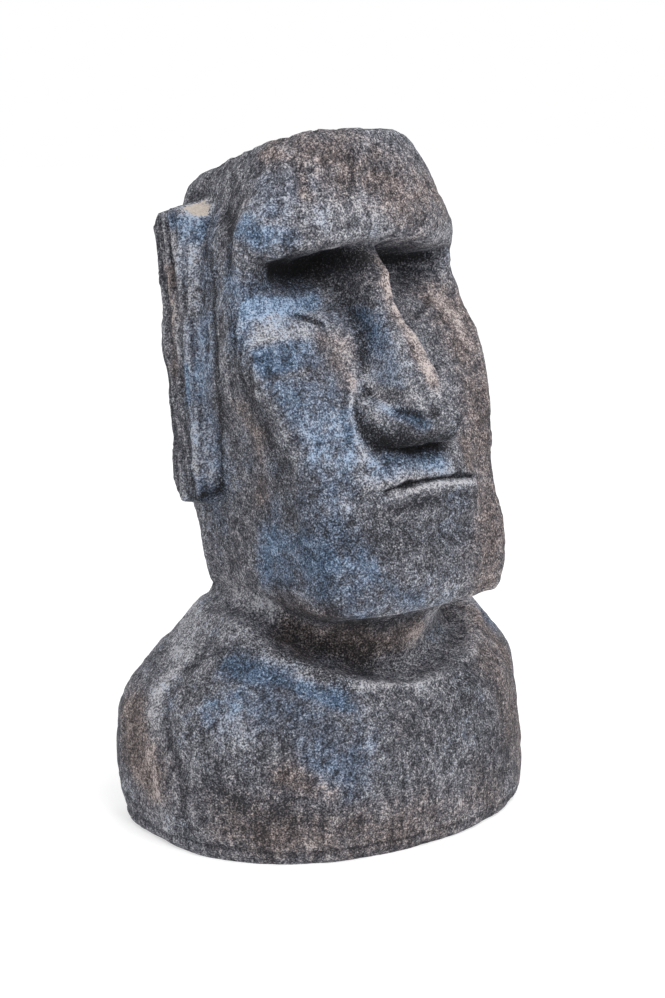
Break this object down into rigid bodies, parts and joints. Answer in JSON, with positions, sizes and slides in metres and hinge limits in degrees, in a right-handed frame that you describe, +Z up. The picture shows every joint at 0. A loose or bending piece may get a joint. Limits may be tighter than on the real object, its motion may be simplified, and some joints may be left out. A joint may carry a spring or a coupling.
{
  "type": "garden moai statue",
  "caption": "Garden statue of a moai: a long stylised head with closed lips and long ears, leaning back on a low bust, cast as one piece on a flat base.",
  "frame": {"origin": "middle of the bounding box, on the ground under the base", "axes": "+Z up, -Y the way the face looks, +X the statue's left hand side"},
  "size_m": [0.348, 0.2446, 0.56],
  "materials": {
    "cast_stone": "rough cast stone, slate grey wash with a pale dry brushed grain"
  },
  "bodies": {
    "root": {"moai_statue": "cast_stone"}
  },
  "joints": []
}
